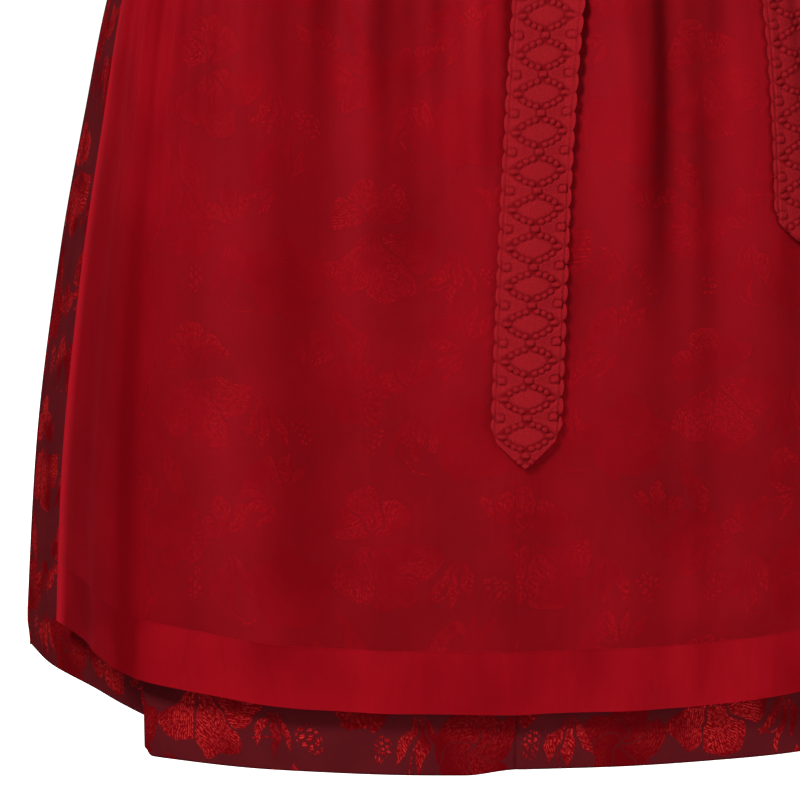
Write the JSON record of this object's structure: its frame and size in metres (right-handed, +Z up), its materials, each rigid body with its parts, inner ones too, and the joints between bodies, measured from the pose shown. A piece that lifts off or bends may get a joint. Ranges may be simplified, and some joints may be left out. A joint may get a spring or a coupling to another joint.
{
  "type": "dirndl",
  "caption": "Sleeveless bodice dress with a pleated brocade skirt and a sheer gathered apron tied at the waist with a woven ribbon in a bow with pointed tails.",
  "frame": {"origin": "midway between the two shoulder seams, where the straps hang on the wearer", "axes": "+Z up along the wearer's body, -Y is the front of the garment, +X is the wearer's left"},
  "size_m": [0.6672, 0.629, 1.0999],
  "materials": {
    "brocade": "satin",
    "organza": "sheer, slightly shiny",
    "ribbon": "matt"
  },
  "bodies": {
    "root": {"bodice_front_left": "brocade", "bodice_front_right": "brocade", "bodice_side_left": "brocade", "bodice_side_right": "brocade", "bodice_side_back_left": "brocade", "bodice_side_back_right": "brocade", "bodice_back_left": "brocade", "bodice_back_right": "brocade", "hook_tape": "brocade", "skirt_front_left": "brocade", "skirt_front_right": "brocade", "skirt_back_left": "brocade", "skirt_back_right": "brocade", "apron": "organza", "apron_band": "ribbon", "ribbon_round_back": "ribbon", "bow_knot": "ribbon", "bow_loop_left": "ribbon", "bow_loop_right": "ribbon", "bow_tail_left": "ribbon", "bow_tail_right": "ribbon"}
  },
  "joints": []
}
